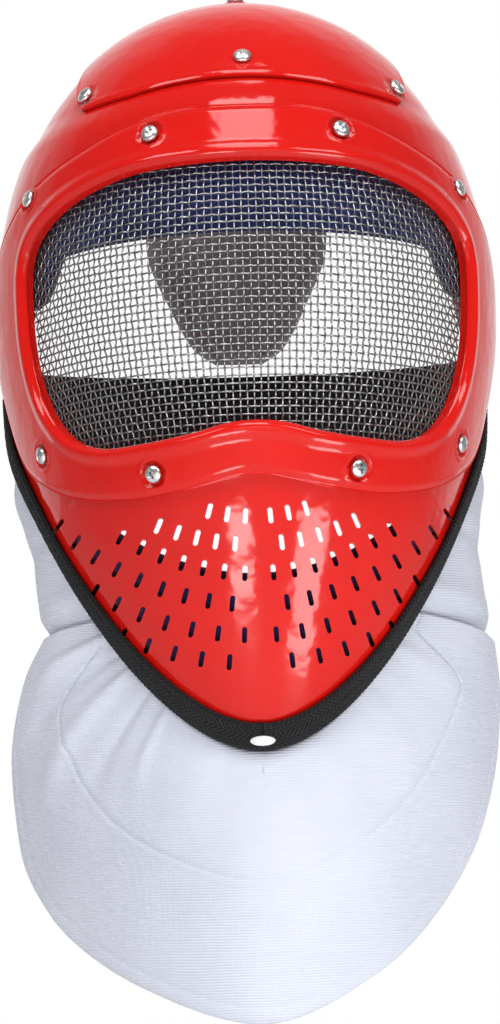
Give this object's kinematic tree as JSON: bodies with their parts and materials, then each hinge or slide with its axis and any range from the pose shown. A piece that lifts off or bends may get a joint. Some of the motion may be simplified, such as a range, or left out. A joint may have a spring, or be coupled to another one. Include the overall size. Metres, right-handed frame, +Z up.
{
  "type": "fencing mask",
  "caption": "Fencing mask with a glossy red moulded shell and crown plate, a woven steel wire visor in a raised frame, vent slots, black edge trim, padding and a white cloth bib.",
  "frame": {"origin": "where the top of the wearer's head rests against the padding inside the crown", "axes": "+Z up along the height of the mask, -Y the way the face looks, +X towards the wearer's left side"},
  "size_m": [0.2108, 0.2432, 0.4317],
  "materials": {
    "red_plastic": "glossy moulded red plastic",
    "steel_wire": "bright crimped steel wire",
    "zinc_screws": "zinc plated steel",
    "black_webbing": "black woven webbing",
    "white_plastic": "white moulded plastic",
    "bib_cloth": "white ribbed cloth",
    "blue_padding": "navy blue brushed knit over foam",
    "grey_padding": "grey brushed knit over foam",
    "black_elastic": "black ribbed elastic"
  },
  "bodies": {
    "root": {"face_shell": "red_plastic", "crown_plate": "red_plastic", "visor_frame": "red_plastic", "visor_mesh": "steel_wire", "frame_screw_1": "zinc_screws", "frame_screw_2": "zinc_screws", "frame_screw_3": "zinc_screws", "frame_screw_4": "zinc_screws", "frame_screw_5": "zinc_screws", "frame_screw_6": "zinc_screws", "frame_screw_7": "zinc_screws", "frame_screw_8": "zinc_screws", "crown_screw_1": "zinc_screws", "crown_screw_2": "zinc_screws", "crown_screw_3": "zinc_screws", "crown_screw_4": "zinc_screws", "edge_trim": "black_webbing", "chin_rivet": "white_plastic", "bib_front": "bib_cloth", "bib_side_left": "bib_cloth", "bib_side_right": "bib_cloth", "head_pad": "blue_padding", "chin_pad": "blue_padding", "rear_tongue": "grey_padding", "rear_strap": "black_elastic"}
  },
  "joints": []
}
